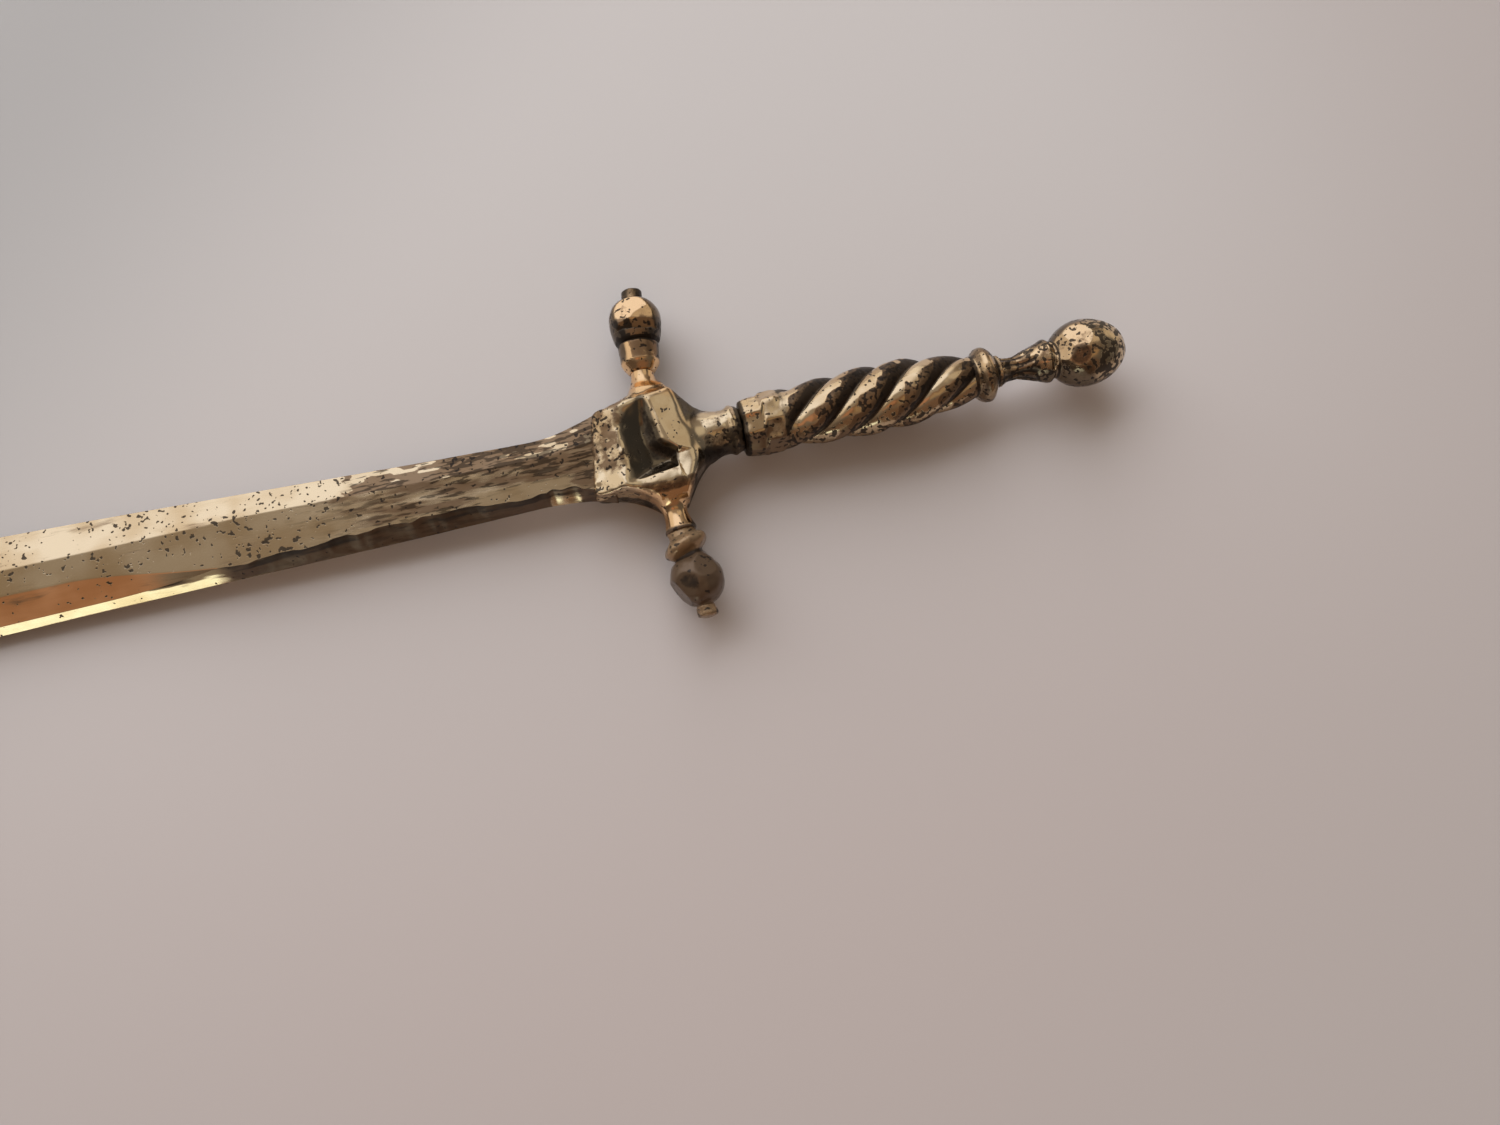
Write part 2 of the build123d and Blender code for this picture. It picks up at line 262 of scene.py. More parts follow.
up_slope = (height - edge_half) / (width - upper_arris)
low_slope = (height - shelf) / (width - lean_in - lower_arris)


def strip(start, end, count):
    """Points across one facet from start to end, at the shares that spread gives."""
    return start + (end - start) * spread(count)


top_y = np.concatenate(
    [
        strip(width, upper_arris, 22),
        strip(upper_arris, -lower_arris, 30),
        strip(-lower_arris, -(width - lean_in), 22),
    ],
    axis=1,
)
top_z = soft_min(height, edge_half + (width - top_y) * up_slope, 0.04)
top_z = soft_min(top_z, shelf + (top_y + width - lean_in) * low_slope, 0.05)
wall_y = strip(-(width - lean_in), -width, 10)
wall_z = strip(shelf, -edge_half + 0 * width, 10)
back_y = np.concatenate(
    [
        strip(-width, -lower_arris, 14),
        strip(-lower_arris, upper_arris, 16),
        strip(upper_arris, width, 14),
    ],
    axis=1,
)
back_low_slope = (height - edge_half) / (width - lower_arris)
back_z = -soft_min(
    soft_min(height, edge_half + (width - back_y) * up_slope, 0.06),
    edge_half + (width + back_y) * back_low_slope,
    0.1,
)
spine_y = strip(width, width, 6)
spine_z = strip(-edge_half + 0 * width, edge_half + 0 * width, 6)
blade_y = np.concatenate([top_y, wall_y, back_y, spine_y], axis=1)
blade_z = axis_z + np.concatenate([top_z, wall_z, back_z, spine_z], axis=1)
blade_rings = np.stack([np.broadcast_to(x, blade_y.shape), blade_y + sway, blade_z], axis=-1)

# %% The blade's rough root
rough_from = shoulder_x - 43.0
rough_to = shoulder_x - 18.0
bevel_end_x = shoulder_x - 32.8
streaks = lumps(blade_rings * (0.16, 1, 1), 0.8, 3)
flecks = ramp(lumps(blade_rings * (0.35, 1, 1), 0.55, 9), 0.12, 0.35)
rough = ramp(x + 7.0 * lumps(blade_rings * (0.25, 1, 1), 1.6, 4), rough_from, rough_to)
on_bevel = ramp(blade_y, upper_arris - 0.15, upper_arris + 0.15)
bevel_rough = ramp(x + 1.2 * lumps(blade_rings, 0.7, 7), bevel_end_x, bevel_end_x + 1.8)
rough = rough + (bevel_rough - rough) * on_bevel
rubbed = ramp(back, 2, 5) * ramp(back, 17, 13) * ramp(-blade_y, 0.8, 1.8)
rough = rough * (1 - 0.9 * rubbed)
on_wall = np.concatenate([0 * top_y, 0 * wall_y + 1, 0 * back_y, 0 * spine_y], axis=1)
wall_top = on_wall * ramp(blade_z - axis_z + 0.35 * streaks, 0.35, 0.85)
dark_top = ramp(x, plunge_x - 14.0, plunge_x - 7.0) * wall_top
blunt_side = on_wall * (1 - ground) * (1 - glint * (1 - wall_top))
on_land = ramp(blade_y, -lower_arris - 0.1, -lower_arris + 0.1) * (1 - on_bevel)
on_low_bevel = (1 - on_land) * (1 - on_bevel) * ground
dents = 0.024 * streaks + 0.016 * lumps(blade_rings, 0.7, 5)
waves = 0.015 * lumps(blade_rings * (0.2, 0.5, 1), 1.6, 6)
blade_rings = push(blade_rings, waves + np.clip(rough + 1.5 * blunt_side, 0, 2) * dents)
rough_brown = rough * on_bevel * (0.9 - 1.5 * flecks) + 0.25 * rough
blade_brown = np.clip(rough_brown + np.maximum(blunt_side, dark_top), -0.5, 1)
blade = ring_piece(
    "blade_skin",
    blade_rings,
    rough=np.clip(rough + 0.5 * blunt_side, 0, 1),
    hollow=(0.32 + 0.3 * streaks) * dark_top + 0.14 * blunt_side,
    dull=0.85 * blunt_side,
    brown=blade_brown - 0.3 * rubbed - 0.8 * glint * on_wall,
    pocked=0.9 * on_land + on_bevel * (0.5 + 0.7 * ramp(back, 50, 40)) - 1.0 * on_low_bevel,
)
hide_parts("blade")

# %% [markdown]
# ## Guard
# The guard is a block with two arms and a neck that flow into each other, and each face has a deep dish. No
# single grid can follow a cross, so this piece is a level surface: a formula says for every point of a box
# how far it lies outside the metal, and the mesh is drawn where that number is zero. Joining parts is then
# a soft minimum, and cutting the dish is a soft maximum with planes. The upper half of the sides was filed
# at a slant, and the lower half less, so that it shows under the guard, where it is painted dark as shade.

# %% A mesh where a field is zero
def level_surface(field, low, step):
    """Points and faces where a field on a box grid is zero: one point in each cell that the surface crosses,
    at the mean of the crossings on the cell's edges, and one quad round each grid edge that it cuts."""
    size = np.array(field.shape)
    inside = field < 0
    total = np.zeros((*(size - 1), 3))
    count = np.zeros(size - 1)
    for axis in range(3):
        others = [k for k in range(3) if k != axis]
        before = [slice(None)] * 3
        after = [slice(None)] * 3
        before[axis] = slice(None, -1)
        after[axis] = slice(1, None)
        a, b = field[tuple(before)], field[tuple(after)]
        cut = inside[tuple(before)] != inside[tuple(after)]
        share = np.where(cut, a / np.where(cut, a - b, 1), 0)
        for shift in np.ndindex(2, 2):
            view = [slice(None)] * 3
            for k, d in zip(others, shift):
                view[k] = slice(d, size[k] - 1 + d)
            crossed, part = cut[tuple(view)], share[tuple(view)]
            count += crossed
            total[..., axis] += part * crossed
            for k, d in zip(others, shift):
                total[..., k] += d * crossed
    active = count > 0
    number = np.cumsum(active).reshape(active.shape) - 1
    cells = np.argwhere(active)
    points = low + step * (cells + total[active] / count[active][:, None])
    faces = []
    for axis in range(3):
        u, v = (axis + 1) % 3, (axis + 2) % 3
        core = [slice(1, -1)] * 3
        core[axis] = slice(None, -1)
        ahead = list(core)
        ahead[axis] = slice(1, None)
        here, there = inside[tuple(core)], inside[tuple(ahead)]
        for rising in (True, False):
            edges = np.argwhere(here & ~there if rising else ~here & there)
            edges[:, [u, v]] += 1
            turn = ((1, 1), (0, 1), (0, 0), (1, 0)) if rising else ((1, 0), (0, 0), (0, 1), (1, 1))
            quad = []
            for du, dv in turn:
                cell = edges.copy()
                cell[:, u] -= du
                cell[:, v] -= dv
                quad.append(number[tuple(cell.T)])
            faces.append(np.stack(quad, axis=-1))
    return points, np.concatenate(faces)


# %% The guard's formula
front_half = 5.5
front_run = 7.4
arm_root_half = 8.2
neck_radius = 3.0
neck_run = 6.5
neck_from = 8.3
face_half = (guard_high[2] - guard_low[2]) / 2
arms_cross = -1.1
arm_lean = radians(4.3)
upper_arm = 11.2
lower_arm = 12.1
upper_waist = 10.7
lower_waist = 8.8
waist_radius = 1.55
front_skew = 0.17
dish_depth = 2.1


def plane_down(px, py, start, end, slope):
    """Height of a plane that leaves the face along the line from start to end and falls to the left of it."""
    run = np.array(end) - np.array(start)
    left = np.array([-run[1], run[0]]) / np.hypot(*run)
    return face_half - slope * ((px - start[0]) * left[0] + (py - start[1]) * left[1])


def dish_floor(px, py):
    """Height of the dish over the middle plane: the highest of its walls, not deeper than dish_depth."""
    left_high = plane_down(px, py, (-1.6, 6.8), (-5.3, 3.8), 0.55)
    left_low = plane_down(px, py, (-5.4, 3.5), (-5.2, -4.6), 0.55)
    rim_slope = plane_down(px, py, (-4.3, -5.7), (3.4, -5.3), 0.24)
    low_wall = plane_down(px, py, (-4.3, -5.1), (1.5, -4.4), 1.3) - 0.15
    ridge = plane_down(px, py, (0.25, -0.5), (-0.55, 5.3), 0.9)
    lobe_end = plane_down(px, py, (2.1, -1.95), (0.1, -0.4), 1.5)
    rim_wall = plane_down(px, py, (1.4, -4.6), (2.0, -1.9), 1.7)
    right_side = soft_max(soft_min(ridge, lobe_end, 0.5), rim_wall, 0.3)
    low = np.minimum(rim_slope, low_wall)
    floor = soft_max(soft_max(left_high, left_low, 0.8), soft_max(right_side, low, 0.4), 0.8)
    corner = plane_down(px, py, (2.8, -5.9), (4.9, -2.7), 0.25)
    corner_end = plane_down(px, py, (4.0, -2.2), (2.0, -1.8), 1.2)
    corner_side = plane_down(px, py, (0.6, -1.9), (1.5, -4.9), 1.7)
    corner = np.maximum(np.maximum(corner, corner_end), corner_side)
    return np.minimum(soft_max(floor, face_half - dish_depth, 0.5), corner)


def past_upper_wall(px, py):
    """How far a point lies past the line where the wall above the neck starts."""
    return 0.985 * (px - 2.75) + 0.17 * (py - 5.1)


def past_lower_wall(px, py):
    """How far a point lies past the line where the wall below the neck starts."""
    return 0.944 * (px - 4.2) - 0.331 * (py + 4.9)


def guard_field(px, py, pz):
    """About how far a point lies outside the guard, in mm from a point of the hilt's axis near its middle."""
    ay, az = np.abs(py), np.abs(pz)
    to_front = np.clip((px + front_reach) / front_run, 0, 1)
    to_neck = np.clip((neck_from - px) / neck_run, 0, 1)
    outline = np.minimum(
        front_half + (arm_root_half - front_half) * to_front**2.8,
        neck_radius + (arm_root_half - neck_radius) * to_neck**2.2,
    )
    side = (ay - outline) * 0.8
    past_ridge = 0.961 * (px - 1.9) + 0.276 * (py + 4.2)
    lifted = 0.4 * ramp(-py, 2.2, 4.9) * ramp(-px, 4.4, 6.0) * (pz > 0)
    top = az - face_half + 1.9 * ramp(-px, 5.0, 9.6) + 0.22 * np.clip(past_ridge, 0, None) - lifted
    filed = np.where(pz > 0, az, 0.4 * az)
    slant = 0.664 * ay + 0.747 * filed - 6.95 - 0.4 * ramp(-py, 0.0, 2.0)
    block = soft_max(soft_max(side, slant, 0.9), top, 0.4)
    upper_wall = 0.70 * past_upper_wall(px, py) + 0.71 * (az - 3.6)
    lower_wall = 0.80 * past_lower_wall(px, py) + 0.60 * (az - 2.9)
    block = soft_max(block, soft_max(upper_wall, lower_wall, 0.4), 0.4)
    block = soft_max(block, front_skew * py - front_reach - px, 0.9)
    hub = np.hypot(py, pz)
    lip = 0.35 * np.exp(-(((px - 9.6) / 0.55) ** 2))
    neck = soft_max(hub - neck_radius - lip, np.abs(px - 6.0) - (grip_x - middle_x - 6.0) + 0.15, 0.3)
    field = soft_min(block, neck, 1.3)
    for sign, length, waist_at in ((1, upper_arm, upper_waist), (-1, lower_arm, lower_waist)):
        out = (px - arms_cross) * sin(arm_lean) + sign * py * cos(arm_lean)
        across = np.hypot((px - arms_cross) * cos(arm_lean) - sign * py * sin(arm_lean), pz)
        radius = waist_radius + np.minimum(0.07 * (out - waist_at) ** 2, 0.6)
        arm = soft_max(across - radius, np.abs(out - 6.0) - (length - 6.0), 0.15)
        field = soft_min(field, arm, 1.4)
    return soft_max(field, 0.75 * (az - dish_floor(px, py)), 0.3)


# %% The guard's surface
guard_step = 0.13
guard_from = np.array([-11.6, -12.4, -5.0])
guard_to = np.array([11.6, 12.4, 5.0])
lines = [np.arange(a, b, guard_step) for a, b in zip(guard_from, guard_to)]
grid = np.stack(np.meshgrid(*lines, indexing="ij"), axis=-1)
guard_values = guard_field(grid[..., 0], grid[..., 1], grid[..., 2])
front_rough = ramp(-grid[..., 0] + 0.8 * lumps(grid, 1.2, 12), 4.0, 5.6)
neck_rough = ramp(grid[..., 0], 5.0, 6.5)
fine_dents = 0.02 + 0.10 * front_rough + 0.08 * neck_rough
guard_values += 0.06 * lumps(grid, 2.1, 10) + fine_dents * lumps(grid, 0.9, 11)
guard_points, guard_faces = level_surface(guard_values, guard_from, guard_step)

# %% Where the guard is dark, pitted or warm
gx, gy, gz = guard_points.T
depth = face_half - dish_floor(gx, gy)
in_dish = ramp(depth + 0.15 * lumps(guard_points, 0.9, 15), 0.1, 0.4)
in_dish = in_dish * ramp(np.abs(gz), 1.2, 1.8) * ramp(-np.abs(gy), -6.8, -6.2)
above_bar = ramp(gy + 5.1 - 0.12 * (gx + 4.3), 0.0, 0.3)
left_of_rim = np.maximum(ramp(1.4 + 0.22 * (gy + 4.6) - gx, 0.0, 0.3), ramp(gy, -1.9, -1.6))
in_dish = in_dish * above_bar * left_of_rim
pitted = ramp(-gx + 0.8 * lumps(guard_points, 1.2, 12) + 0.55 * np.clip(gy - 3.5, 0, 3), 4.5, 5.7)
blotch = lumps(guard_points, 1.0, 14)
neck_dark = ramp(gx, 4.6, 5.6) * ramp(-gy + 0.7 * blotch, 0.0, 0.9)
at_grip = ramp(gx, 9.9, 10.4)
on_upper_wall = ramp(past_upper_wall(gx, gy), 0.1, 0.4) * ramp(gy - 0.6 * gx, -1.1, -0.4)
on_lower_wall = ramp(past_lower_wall(gx, gy), -0.8, -0.5) * ramp(-gy, 2.0, 2.8)
# Painted shade: the walls above and below the neck are painted slate and dark, as shaded faces.
walls = np.maximum(on_upper_wall, on_lower_wall) * ramp(gx, 10.0, 7.0)
# Painted shade: the shaded underside of the lower rim is painted near black and brown.
shade_under_rim = ramp(-gy, 5.5, 5.9) * ramp(-gy, 7.4, 6.9) * ramp(gx, -4.5, -3.0)
lower_end = ramp(-gy, lower_arm - 0.7, lower_arm - 0.4)
valley = ramp(depth, 0.4, 0.9) * in_dish * ramp(gx, -2.6, -1.6) * ramp(gy, -3.2, -2.2)
# Painted shade: the lower half of the sides beside the block is painted slate and dark, as the shaded side
# under the guard.
beside_block = ramp(np.abs(gy), 3.0, 4.4) * ramp(np.abs(gy), 9.2, 8.0)
shade_under_side = ramp(-gz, 0.2, 0.8) * ramp(-gz, 4.0, 3.6) * beside_block
# This sums dark hollows and joints with the painted shade under the rim, on the walls and under the sides.
guard_hollow = 0.6 * neck_dark + at_grip + 0.42 * shade_under_rim + 0.38 * walls + 0.6 * valley + 0.45 * shade_under_side
guard_brown = (0.35 - 0.6 * ramp(-gy, 1.5, 4.0)) * pitted + 0.7 * shade_under_rim
guard_place = np.array([middle_x, 0, axis_z])
guard = add_piece(
    "guard_skin",
    guard_points + guard_place,
    guard_faces.tolist(),
    rough=np.clip(0.5 * pitted + 0.35 * ramp(gx, 4.5, 6.0), 0, 1),
    hollow=np.clip(guard_hollow, 0, 1),
    patina=np.clip(0.9 * in_dish + walls + shade_under_side, 0, 1),
    brown=guard_brown - 0.5 * ramp(np.abs(gy), 6.8, 7.8),
    dull=lower_end,
    copper=ramp(np.abs(gy) + 0.3 * gx * (gy > 0), 5.6, 7.0),
)
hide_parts("guard")

# %% [markdown]
# ## Finials
# Each arm ends in a turned finial. The upper one is an acorn on a cup. It was polished, and flats were
# rubbed onto its ball. The lower one has a ring that sits askew, a ball and a nib, and has kept a dull
# brown skin. Both are turned surfaces: the first profile is put together along its length, and the second
# is a soft maximum of a stem, a ring and a ball.

# %% Turned profiles
def bulge(along, middle, half, radius):
    """Half-ellipse of that radius about middle, and a falling slope outside it that others can cover."""
    t = (along - middle) / half
    return np.where(np.abs(t) < 1, radius * np.sqrt(np.clip(1 - t * t, 0, 1)), 1 - np.abs(t))


def flatten(rings, normal, distance, origin):
    """Rubs a flat onto a ball: what stands past a slightly uneven plane goes back almost onto it."""
    normal = np.array(normal) / np.linalg.norm(normal)
    near = np.linalg.norm(rings - origin, axis=-1) < 1.4 * distance
    uneven = 0.03 * lumps(rings, 0.9, 70)
    past = np.clip((rings - origin) @ normal - distance - uneven, 0, None) * near
    return rings - 0.94 * past[..., None] * normal


finial_turns = 72


def around(stations, turns=finial_turns):
    """Angle of each turn, repeated for each station."""
    return np.broadcast_to(2 * pi * np.arange(turns) / turns, (len(stations), turns))


finial_end = 11.8
ball_radius = 3.55
nib_radius = 1.42
finial_at = np.concatenate([np.linspace(-0.6, 0, 4, endpoint=False), np.linspace(0, finial_end, 150)])
nib_profile = nib_radius * np.clip(1 - ((finial_at - 10.9) / 0.95) ** 6, 0, None) ** 0.5


def acorn_profile(ball_at, seam):
    """Radius of the upper finial: a cup that widens to a seam, a barrel on it and a dome with a nib."""
    cup = 1.7 + 0.95 * ramp(finial_at, -1.1, 0.9) + 0.15 * ramp(finial_at, 0.9, seam)
    barrel = ball_radius - 0.6 * ((ball_at - finial_at) / (ball_at - seam)) ** 2
    dome = bulge(finial_at, ball_at, 3.4, ball_radius)
    below = np.where(finial_at < seam, cup, barrel)
    groove = 0.3 * np.exp(-(((finial_at - seam) / 0.2) ** 2))
    return soft_max(np.where(finial_at < ball_at, below - groove, dome), nib_profile, 0.1)


def ringed_profile(ball_at, ring_at):
    """Radius of the lower finial: a stem with a fat ring, a ball and a nib."""
    stem = np.where(finial_at < ring_at + 2.3, 1.95, 0.0)
    ring = bulge(finial_at, ring_at, 1.55, 3.0)
    ball = bulge(finial_at, ball_at, 3.65, ball_radius)
    return soft_max(soft_max(soft_max(ring, ball, 0.2), stem, 0.6), nib_profile, 0.1)


def finial(sign, length, lean, stretch, profile, seed, dent):
    """Turned finial that leans on an arm of that length, stretched along it, with lumps of that depth."""
    seat = guard_place + (arms_cross + length * sin(arm_lean), sign * length * cos(arm_lean), 0)
    out = np.array([sin(lean), sign * cos(lean), 0])
    radius = np.broadcast_to(profile[:, None], (len(profile), finial_turns))
    rings = turned(stretch * finial_at, np.maximum(radius, 0.02), seat, out)
    return push(rings, dent * lumps(rings, 1.7, seed) + 0.4 * dent * lumps(rings, 0.7, seed + 1)), seat, out


# %% The upper finial
upper_ball_at = 7.2
upper_seam = 3.6
upper_profile = acorn_profile(upper_ball_at, upper_seam)
upper_lean = radians(5.8)
upper_stretch = 0.965
upper_rings, upper_seat, upper_out = finial(1, upper_arm, upper_lean, upper_stretch, upper_profile, 20, 0.06)
upper_ball = upper_seat + upper_stretch * upper_ball_at * upper_out
upper_flats = (
    ((-0.16, 0.24, 0.96), 2.75),
    ((-0.02, 0.24, 0.96), 2.8),
    ((0.10, -0.06, 0.99), 2.85),
    ((0.0, -0.42, 0.90), 2.85),
)
for facing, distance in upper_flats:
    upper_rings = flatten(upper_rings, facing, distance, upper_ball)
station = finial_at[:, None]
upper_groove = np.exp(-(((station - upper_seam) / 0.3) ** 2)) + 0.6 * ramp(station, 9.9, 10.4)
upper_blotch = ramp(lumps(upper_rings, 0.9, 22), 0.0, 0.5) * ramp(station, 7.4, 6.4) * ramp(station, 2.2, 3.2)
copper_band = ramp(station, 7.0, 6.2) * ramp(station, 3.2, 3.9)
bell = ramp(station, 0.5, 1.2) * ramp(station, 3.8, 3.2)
# Painted shade: the ball's sides and the bell's edges are painted slate, and the bell is painted brown except
# on its side towards -X. The copper band is tarnish.
facing_x = normals(upper_rings)[..., 0]
ball_side = ramp(np.abs(facing_x), 0.28, 0.52) * ramp(station, 3.6, 4.4)
bell_edge = ramp(np.abs(facing_x - 0.1), 0.7, 0.85)
upper_patina = 1.4 * sideways(upper_rings) * ramp(station, 3.0, 3.8) + ball_side + bell * bell_edge
upper_stain_and_shade = 0.8 * bell * (1 - ramp(-facing_x, 0.3, 0.5)) + 0.7 * copper_band
upper_finial = ring_piece(
    "upper_quillon_finial_skin",
    upper_rings,
    hollow=np.clip(upper_groove + 0.6 * upper_blotch + 0.15 * copper_band, 0, 1),
    rough=0.1 + 0.3 * copper_band,
    patina=np.clip(upper_patina, 0, 0.95),
    brown=upper_stain_and_shade - 0.5 * ramp(station, 1.0, 0.4),
    copper=1.0,
)
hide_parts("upper_quillon_finial")

# %% The lower finial
lower_ball_at = 6.7
lower_ring_at = 1.95
lower_profile = ringed_profile(lower_ball_at, lower_ring_at)
lower_rings, lower_seat, lower_out = finial(-1, lower_arm, arm_lean, 1.0, lower_profile, 30, 0.16)
askew = ramp(station, 0.0, 1.2) * (1 - ramp(station, 3.2, 4.4))
ring_tilt = 0.2
lower_rings[..., 1] += askew * ring_tilt * (lower_rings[..., 0] - lower_seat[0])
lower_ball = lower_seat + lower_ball_at * lower_out
lower_flats = (((-0.45, -0.25, 0.86), 3.15), ((0.35, 0.35, 0.86), 3.2), ((-0.87, -0.49, 0.1), 2.85))
for facing, distance in lower_flats:
    lower_rings = flatten(lower_rings, facing, distance, lower_ball)
lower_groove = np.exp(-(((station - 3.5) / 0.35) ** 2)) * 0.8
ball_edge = ramp(normals(lower_rings) @ (-0.87, -0.49, 0.0), 0.65, 0.85) * ramp(station, 3.6, 4.6)
dark_spot = ramp(np.linalg.norm(lower_rings - lower_ball - (-1.2, -0.6, 3.2), axis=-1), 1.8, 0.6)
lower_stain = 0.55 * dark_spot + 0.25 * ramp(lumps(lower_rings, 1.7, 33), 0.0, 0.8) * ramp(station, 3.6, 4.6)
lower_dull = 0.7 + 0.3 * ramp(station, 3.0, 4.0) - 0.25 * ramp(station, 10.0, 10.4)
lower_finial = ring_piece(
    "lower_quillon_finial_skin",
    lower_rings,
    hollow=np.clip(lower_groove + lower_stain + 0.35 * ball_edge, 0, 1),
    rough=0.0,
    dull=lower_dull,
    copper=1.0,
)
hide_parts("lower_quillon_finial")

# %% [markdown]
# ## Grip
# Four strands wind left-handed round a spindle, out from under a band with uneven facets. Here a ring grid
# is enough: the radius is the spindle's, less a fall on both sides of each strand's crest. The fall is a
# power of the distance from the crest, long and nearly flat on the side towards the blade and round on the
# other. That side was polished, and the other is painted dark brown, as tarnish and as painted shade.

# %% The grip's surface
grip_length = collar_x - grip_x
strands = 4
twist_lead = 24.8
flute_at = 13.5
flute_turn = radians(107)
band_end = 4.6
band_edge = 3.55
band_swell = 0.65
band_half = 3.6
band_spindle = 3.95
belly_at = 20.0
belly_spindle = 4.7
end_spindle = 3.0
grip_at = np.linspace(0, grip_length, 300)
turn = around(grip_at, 128)
s = grip_at[:, None]
front_share = (s - band_end) / (belly_at - band_end)
back_share = (grip_length + 0.4 - s) / (grip_length + 0.4 - belly_at)
belly_share = np.clip(np.where(s < belly_at, front_share, back_share), 0, 1)
outer_spindle = np.where(s < belly_at, band_spindle, end_spindle)
spindle = outer_spindle + (belly_spindle - outer_spindle) * np.sin(pi / 2 * belly_share)
from_flute = turn - flute_turn + 2 * pi * (s - flute_at) / twist_lead
across = 2 * np.mod(strands * from_flute / (2 * pi), 1.0) - 1
crest = 0.15
left_share = np.clip((crest - across) / (1 + crest), 0, 1)
left_fall = 0.6 * left_share**1.3 + 0.4 * left_share**5
right_fall = np.clip((across - crest) / (1 - crest), 0, 1) ** 1.9
flute_depth = 0.95 * ramp(s, 5.2, 7.6) * (1 - 0.45 * ramp(s, 26, grip_length))
strand_radius = spindle - flute_depth * (left_fall + right_fall)
facets = 9
facet_angle = np.mod(facets * (turn + 0.35 * ramp(s, 2.4, 3.2)) / (2 * pi), 1.0) - 0.5
facet_radius = cos(pi / facets) / np.cos(facet_angle * 2 * pi / facets)
band_arch = np.sqrt(np.clip(1 - ((s - band_half) / band_half) ** 2, 0, 1))
band_radius = (band_edge + band_swell * band_arch) * facet_radius
on_band = 1 - ramp(s, band_end, 5.8)
grip_radius = band_radius * on_band + strand_radius * (1 - on_band)
grip_rings = turned(grip_x + grip_at, grip_radius, (0, 0, axis_z), (1, 0, 0))
grip_dents = (0.05 + 0.24 * on_band) * lumps(grip_rings, 2.2, 40) + 0.03 * lumps(grip_rings, 0.8, 41)
grip_rings = push(grip_rings, grip_dents)

# %% Where the grip is worn, where it is stained and where shade is painted
past_band = ramp(s, 5.0, 6.6)
in_flute = (ramp(-across, 0.88, 0.96) + ramp(across, 0.42, 0.70)) * past_band
# Painted shade: the right flank of each strand (shaded) is painted dark brown, warmer and more pitted, and
# the side towards -Y (grip_side) is painted brown and slate, partly as tarnish and partly as shade.
low_half = ramp(-grip_rings[..., 1], -1.5, 2.0)
shaded = ramp(across + 0.6 * lumps(grip_rings, 1.1, 42) + 0.15 * low_half, -0.2, 0.1) * past_band
at_ends = np.exp(-((s / 0.6) ** 2)) + 0.5 * np.exp(-(((s - 5.6) / 0.5) ** 2))
grip_side = ramp(-normals(grip_rings)[..., 1], 0.30, 0.75)
grip = ring_piece(
    "grip_skin",
    grip_rings,
    hollow=np.clip(in_flute + 0.55 * shaded * (1 - 0.5 * low_half) + at_ends, 0, 1),
    rough=0.1 + 0.55 * np.maximum(grip_side, shaded),
    brown=0.75 * np.maximum(grip_side, shaded) - 0.8 * (1 - shaded) * past_band,
    patina=0.35 * grip_side,
    copper=0.1 + 0.6 * shaded,
)
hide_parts("grip")

# %% [markdown]
# ## Collar and pommel
# The collar is a fat ring with a lip. The pommel has a filed, striated neck, a bead and an egg that was
# dented and pitted all over its far end. Both are turned surfaces with the same bulges as the finials.

# %% The collar's surface
collar_length = pommel_x - collar_x
collar_middle = 1.9
collar_half = 1.95
collar_out = 3.85
collar_at = np.linspace(0, collar_length, 60)
collar_ring = bulge(collar_at, collar_middle, collar_half, collar_out)
collar_core = np.where(collar_at > 2.6, 2.2, 2.9)
collar_profile = soft_max(collar_ring, collar_core, 0.3)
collar_radius = np.broadcast_to(collar_profile[:, None], around(collar_at).shape)
collar_rings = turned(collar_x + collar_at, collar_radius, (0, 0, axis_z), (1, 0, 0))
collar_rings = push(collar_rings, 0.16 * lumps(collar_rings, 1.9, 50) + 0.03 * lumps(collar_rings, 0.7, 51))
c = collar_at[:, None]
collar_hollow = np.clip(np.exp(-((c / 0.6) ** 2)) + 0.7 * np.exp(-(((c - 3.6) / 0.25) ** 2)), 0, 1)
# Painted shade: sideways() paints the collar's sides slate, partly as tarnish and partly as shade.
collar = ring_piece(
    "grip_collar_skin",
    collar_rings,
    hollow=collar_hollow,
    rough=0.3,
    brown=0.25,
    patina=0.7 * sideways(collar_rings),
    copper=0.5,
)
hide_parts("grip_collar")

# %% The pommel's surface
pommel_length = end_x - pommel_x
egg_radius = 4.65
egg_front_half = 4.9
egg_back_half = 6.1
egg_belly = pommel_length - egg_back_half
bead_at = 6.9
bead_half = 0.9
bead_radius = 3.0
thin_neck = 1.47
close_part = 0.6
pommel_at = np.concatenate(
    [
        np.linspace(0, pommel_length - close_part, 190, endpoint=False),
        pommel_length - close_part * (1 - spread(24)),
        [pommel_length - 0.001],
    ]
)
neck_profile = thin_neck + 0.6 * np.exp(-pommel_at / 0.7) + 0.35 * np.clip(pommel_at - 2.4, 0, None)
bead_profile = bulge(pommel_at, bead_at, bead_half, bead_radius)
egg_front = bulge(pommel_at, egg_belly, egg_front_half, egg_radius)
egg_back = bulge(pommel_at, egg_belly, egg_back_half, egg_radius)
egg_profile = np.where(pommel_at < egg_belly, egg_front, egg_back)
stem = np.where(pommel_at < 6.7, neck_profile, np.where(pommel_at < egg_belly, 2.6, 0))
pommel_profile = soft_max(soft_max(bead_profile, stem, 0.35), egg_profile, 0.15)
pommel_turn = around(pommel_at, 96)
p = pommel_at[:, None]
on_neck = 1 - ramp(p, 4.6, 5.4)
pommel_radius = np.broadcast_to(np.maximum(pommel_profile, 0.02)[:, None], pommel_turn.shape)
